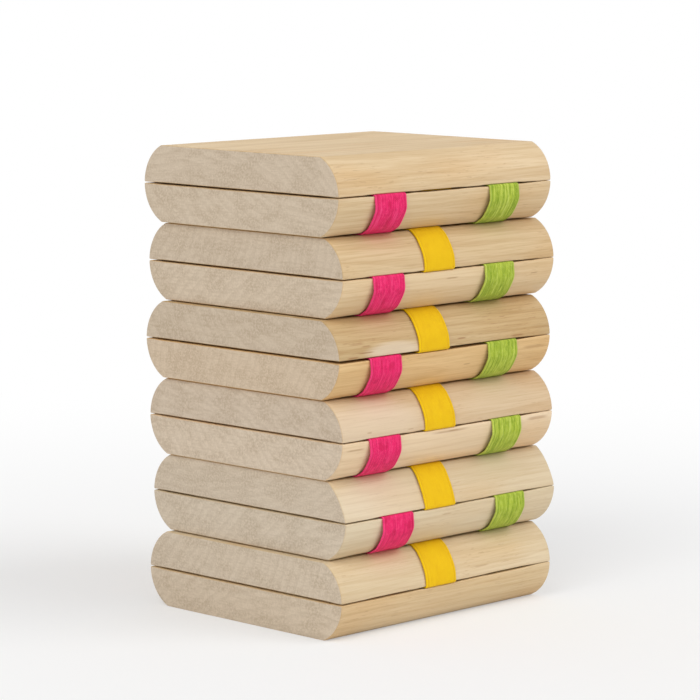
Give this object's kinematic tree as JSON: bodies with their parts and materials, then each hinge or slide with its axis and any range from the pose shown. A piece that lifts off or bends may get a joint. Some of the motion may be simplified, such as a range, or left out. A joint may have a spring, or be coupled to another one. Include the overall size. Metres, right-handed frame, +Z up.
{
  "type": "jacobs ladder toy",
  "caption": "Folding toy of flat wooden blocks with rounded long edges, stacked flat and hung together on pink, yellow and green woven ribbons.",
  "frame": {"origin": "on the surface that the stack rests on, under the middle of the stack", "axes": "+X along the blocks' long sides, +Y from front to back, +Z up through the stack"},
  "size_m": [0.0728, 0.0648, 0.1088],
  "materials": {
    "wood": "bare sanded softwood, pale, with a fine straight grain",
    "pink_ribbon": "woven ribbon, satin sheen, fine lengthwise threads",
    "yellow_ribbon": "woven ribbon, satin sheen, fine lengthwise threads",
    "green_ribbon": "woven ribbon, satin sheen, fine lengthwise threads",
    "glue": "dried wood glue between the two halves"
  },
  "bodies": {
    "block_1": {"block_1_upper_half": "wood", "block_1_lower_half": "wood", "block_1_glue_film": "glue", "pink_ribbon_in_block_1": "pink_ribbon", "yellow_ribbon_in_block_1": "yellow_ribbon", "green_ribbon_in_block_1": "green_ribbon"},
    "block_2": {"block_2_upper_half": "wood", "block_2_lower_half": "wood", "block_2_glue_film": "glue", "pink_ribbon_in_block_2": "pink_ribbon", "yellow_ribbon_in_block_2": "yellow_ribbon", "green_ribbon_in_block_2": "green_ribbon"},
    "block_3": {"block_3_upper_half": "wood", "block_3_lower_half": "wood", "block_3_glue_film": "glue", "pink_ribbon_in_block_3": "pink_ribbon", "yellow_ribbon_in_block_3": "yellow_ribbon", "green_ribbon_in_block_3": "green_ribbon"},
    "block_4": {"block_4_upper_half": "wood", "block_4_lower_half": "wood", "block_4_glue_film": "glue", "pink_ribbon_in_block_4": "pink_ribbon", "yellow_ribbon_in_block_4": "yellow_ribbon", "green_ribbon_in_block_4": "green_ribbon"},
    "block_5": {"block_5_upper_half": "wood", "block_5_lower_half": "wood", "block_5_glue_film": "glue", "pink_ribbon_in_block_5": "pink_ribbon", "yellow_ribbon_in_block_5": "yellow_ribbon", "green_ribbon_in_block_5": "green_ribbon"},
    "block_6": {"block_6_upper_half": "wood", "block_6_lower_half": "wood", "block_6_glue_film": "glue", "pink_ribbon_in_block_6": "pink_ribbon", "yellow_ribbon_in_block_6": "yellow_ribbon", "green_ribbon_in_block_6": "green_ribbon"},
    "pink_green_run_1_2": {"pink_ribbon_run_1_to_2": "pink_ribbon", "green_ribbon_run_1_to_2": "green_ribbon"},
    "yellow_front_run_1_2": {"yellow_ribbon_run_1_to_2_front": "yellow_ribbon"},
    "yellow_back_run_1_2": {"yellow_ribbon_run_1_to_2_back": "yellow_ribbon"},
    "pink_green_run_2_3": {"pink_ribbon_run_2_to_3": "pink_ribbon", "green_ribbon_run_2_to_3": "green_ribbon"},
    "yellow_front_run_2_3": {"yellow_ribbon_run_2_to_3_front": "yellow_ribbon"},
    "yellow_back_run_2_3": {"yellow_ribbon_run_2_to_3_back": "yellow_ribbon"},
    "pink_green_run_3_4": {"pink_ribbon_run_3_to_4": "pink_ribbon", "green_ribbon_run_3_to_4": "green_ribbon"},
    "yellow_front_run_3_4": {"yellow_ribbon_run_3_to_4_front": "yellow_ribbon"},
    "yellow_back_run_3_4": {"yellow_ribbon_run_3_to_4_back": "yellow_ribbon"},
    "pink_green_run_4_5": {"pink_ribbon_run_4_to_5": "pink_ribbon", "green_ribbon_run_4_to_5": "green_ribbon"},
    "yellow_front_run_4_5": {"yellow_ribbon_run_4_to_5_front": "yellow_ribbon"},
    "yellow_back_run_4_5": {"yellow_ribbon_run_4_to_5_back": "yellow_ribbon"},
    "pink_green_run_5_6": {"pink_ribbon_run_5_to_6": "pink_ribbon", "green_ribbon_run_5_to_6": "green_ribbon"},
    "yellow_front_run_5_6": {"yellow_ribbon_run_5_to_6_front": "yellow_ribbon"},
    "yellow_back_run_5_6": {"yellow_ribbon_run_5_to_6_back": "yellow_ribbon"}
  },
  "joints": [
    {"name": "front_fold_1_2", "type": "hinge", "parent": "block_1", "child": "pink_green_run_1_2", "pos_m": [0, -0.03225, 0.0908], "axis": [-1, 0, 0], "range_deg": [0, 180.1]},
    {"name": "back_fold_1_2", "type": "hinge", "parent": "pink_green_run_1_2", "child": "block_2", "pos_m": [0, 0.03225, 0.0908], "axis": [-1, 0, 0], "range_deg": [-180.1, 0]},
    {"name": "yellow_back_fold_1_2", "type": "hinge", "parent": "block_1", "child": "yellow_back_run_1_2", "pos_m": [0, 0.03225, 0.0908], "axis": [-1, 0, 0], "range_deg": [-180.1, 0]},
    {"name": "yellow_front_fold_1_2", "type": "hinge", "parent": "block_2", "child": "yellow_front_run_1_2", "pos_m": [0, -0.03225, 0.0908], "axis": [1, 0, 0], "range_deg": [0, 180.1]},
    {"name": "front_fold_2_3", "type": "hinge", "parent": "block_2", "child": "pink_green_run_2_3", "pos_m": [0, -0.03225, 0.0726], "axis": [1, 0, 0], "range_deg": [-180.1, 0]},
    {"name": "back_fold_2_3", "type": "hinge", "parent": "pink_green_run_2_3", "child": "block_3", "pos_m": [0, 0.03225, 0.0726], "axis": [1, 0, 0], "range_deg": [0, 180.1]},
    {"name": "yellow_back_fold_2_3", "type": "hinge", "parent": "block_2", "child": "yellow_back_run_2_3", "pos_m": [0, 0.03225, 0.0726], "axis": [1, 0, 0], "range_deg": [0, 180.1]},
    {"name": "yellow_front_fold_2_3", "type": "hinge", "parent": "block_3", "child": "yellow_front_run_2_3", "pos_m": [0, -0.03225, 0.0726], "axis": [-1, 0, 0], "range_deg": [-180.1, 0]},
    {"name": "front_fold_3_4", "type": "hinge", "parent": "block_3", "child": "pink_green_run_3_4", "pos_m": [0, -0.03225, 0.0544], "axis": [-1, 0, 0], "range_deg": [0, 180.1]},
    {"name": "back_fold_3_4", "type": "hinge", "parent": "pink_green_run_3_4", "child": "block_4", "pos_m": [0, 0.03225, 0.0544], "axis": [-1, 0, 0], "range_deg": [-180.1, 0]},
    {"name": "yellow_back_fold_3_4", "type": "hinge", "parent": "block_3", "child": "yellow_back_run_3_4", "pos_m": [0, 0.03225, 0.0544], "axis": [-1, 0, 0], "range_deg": [-180.1, 0]},
    {"name": "yellow_front_fold_3_4", "type": "hinge", "parent": "block_4", "child": "yellow_front_run_3_4", "pos_m": [0, -0.03225, 0.0544], "axis": [1, 0, 0], "range_deg": [0, 180.1]},
    {"name": "front_fold_4_5", "type": "hinge", "parent": "block_4", "child": "pink_green_run_4_5", "pos_m": [0, -0.03225, 0.0362], "axis": [1, 0, 0], "range_deg": [-180.1, 0]},
    {"name": "back_fold_4_5", "type": "hinge", "parent": "pink_green_run_4_5", "child": "block_5", "pos_m": [0, 0.03225, 0.0362], "axis": [1, 0, 0], "range_deg": [0, 180.1]},
    {"name": "yellow_back_fold_4_5", "type": "hinge", "parent": "block_4", "child": "yellow_back_run_4_5", "pos_m": [0, 0.03225, 0.0362], "axis": [1, 0, 0], "range_deg": [0, 180.1]},
    {"name": "yellow_front_fold_4_5", "type": "hinge", "parent": "block_5", "child": "yellow_front_run_4_5", "pos_m": [0, -0.03225, 0.0362], "axis": [-1, 0, 0], "range_deg": [-180.1, 0]},
    {"name": "front_fold_5_6", "type": "hinge", "parent": "block_5", "child": "pink_green_run_5_6", "pos_m": [0, -0.03225, 0.018], "axis": [-1, 0, 0], "range_deg": [0, 180.1]},
    {"name": "back_fold_5_6", "type": "hinge", "parent": "pink_green_run_5_6", "child": "block_6", "pos_m": [0, 0.03225, 0.018], "axis": [-1, 0, 0], "range_deg": [-180.1, 0]},
    {"name": "yellow_back_fold_5_6", "type": "hinge", "parent": "block_5", "child": "yellow_back_run_5_6", "pos_m": [0, 0.03225, 0.018], "axis": [-1, 0, 0], "range_deg": [-180.1, 0]},
    {"name": "yellow_front_fold_5_6", "type": "hinge", "parent": "block_6", "child": "yellow_front_run_5_6", "pos_m": [0, -0.03225, 0.018], "axis": [1, 0, 0], "range_deg": [0, 180.1]}
  ],
  "couplings": [
    {"joint": "yellow_back_fold_1_2", "follows": "back_fold_1_2", "ratio": 1},
    {"joint": "yellow_front_fold_1_2", "follows": "front_fold_1_2", "ratio": 1},
    {"joint": "yellow_back_fold_2_3", "follows": "back_fold_2_3", "ratio": 1},
    {"joint": "yellow_front_fold_2_3", "follows": "front_fold_2_3", "ratio": 1},
    {"joint": "yellow_back_fold_3_4", "follows": "back_fold_3_4", "ratio": 1},
    {"joint": "yellow_front_fold_3_4", "follows": "front_fold_3_4", "ratio": 1},
    {"joint": "yellow_back_fold_4_5", "follows": "back_fold_4_5", "ratio": 1},
    {"joint": "yellow_front_fold_4_5", "follows": "front_fold_4_5", "ratio": 1},
    {"joint": "yellow_back_fold_5_6", "follows": "back_fold_5_6", "ratio": 1},
    {"joint": "yellow_front_fold_5_6", "follows": "front_fold_5_6", "ratio": 1}
  ]
}
